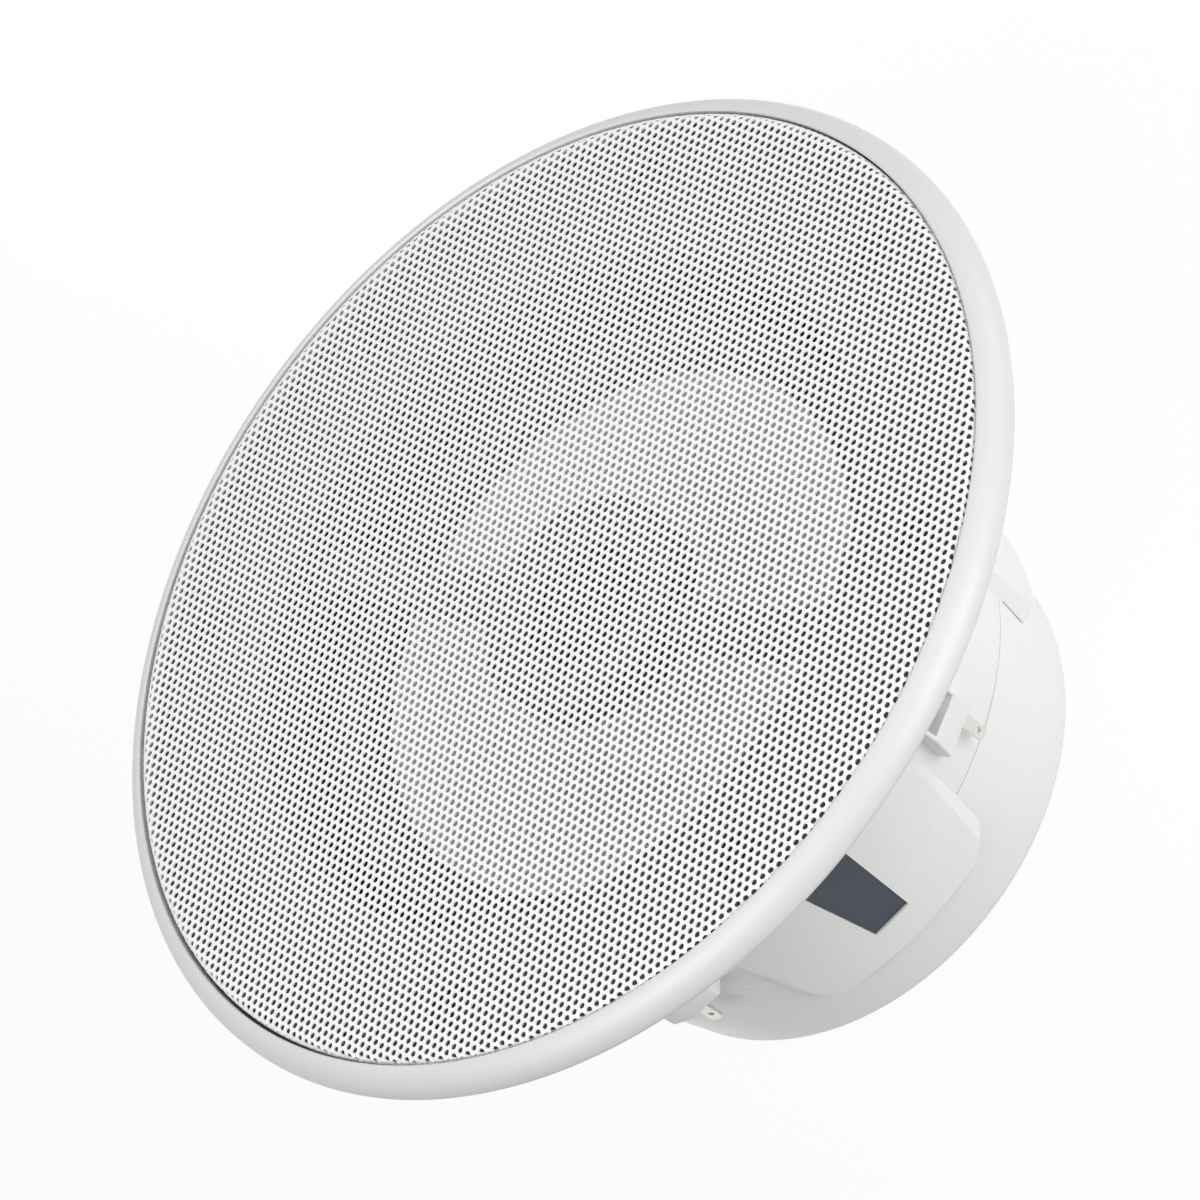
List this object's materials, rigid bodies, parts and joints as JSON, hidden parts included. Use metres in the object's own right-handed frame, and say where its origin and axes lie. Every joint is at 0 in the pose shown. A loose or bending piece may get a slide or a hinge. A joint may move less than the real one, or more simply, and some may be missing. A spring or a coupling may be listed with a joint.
{
  "type": "marine speaker",
  "caption": "Round flush-mount marine speaker with a domed perforated grille in a rounded bezel, a tapered basket with raised legs, blade terminals and a covered magnet.",
  "frame": {"origin": "centre of the flange's rear face, which seats on the panel", "axes": "+Z along the axis, out of the grille; -Y towards the leg that stands between the two terminals"},
  "size_m": [0.222, 0.222, 0.1049],
  "materials": {
    "grille_paint": "satin white paint",
    "white_moulding": "glossy white",
    "slate_panel": "matt slate grey",
    "tinned_blade": "dull tinned",
    "foam_ring": "soft matt",
    "rubber_roll": "satin grey",
    "cone_paper": "pale matt",
    "former_foil": "bright foil",
    "copper_winding": "lacquered copper",
    "spider_cloth": "woven and varnished",
    "plate_steel": "zinc plated",
    "ferrite": "dark sintered",
    "dark_moulding": "fine matt",
    "dome_cloth": "coated",
    "can_sleeve": "shrunk sleeve"
  },
  "bodies": {
    "frame": {"grille": "grille_paint", "bezel": "white_moulding", "basket": "white_moulding", "front_liner": "dark_moulding", "leg_inserts": "slate_panel", "terminal_tab_positive": "tinned_blade", "terminal_tab_negative": "tinned_blade", "rear_cover": "white_moulding", "mounting_gasket": "foam_ring", "surround": "rubber_roll", "spider": "spider_cloth", "top_plate": "plate_steel", "magnet_ring": "ferrite", "back_plate": "plate_steel", "magnet_screws": "plate_steel", "tweeter_bridge": "dark_moulding", "tweeter_housing": "dark_moulding", "tweeter_faceplate": "dark_moulding", "tweeter_dome": "dome_cloth", "tweeter_magnet": "ferrite", "crossover_capacitor": "can_sleeve", "lead_positive": "copper_winding", "lead_negative": "copper_winding"},
    "cone_assembly": {"cone": "cone_paper", "dust_cap": "cone_paper", "voice_coil_former": "former_foil", "voice_coil": "copper_winding"}
  },
  "joints": [
    {"name": "cone_excursion", "type": "slide", "parent": "frame", "child": "cone_assembly", "axis": [0, 0, 1], "range_m": [-0.004, 0.004], "stiffness_N_per_m": 1500, "deforming": ["surround", "spider", "lead_positive", "lead_negative"]}
  ]
}
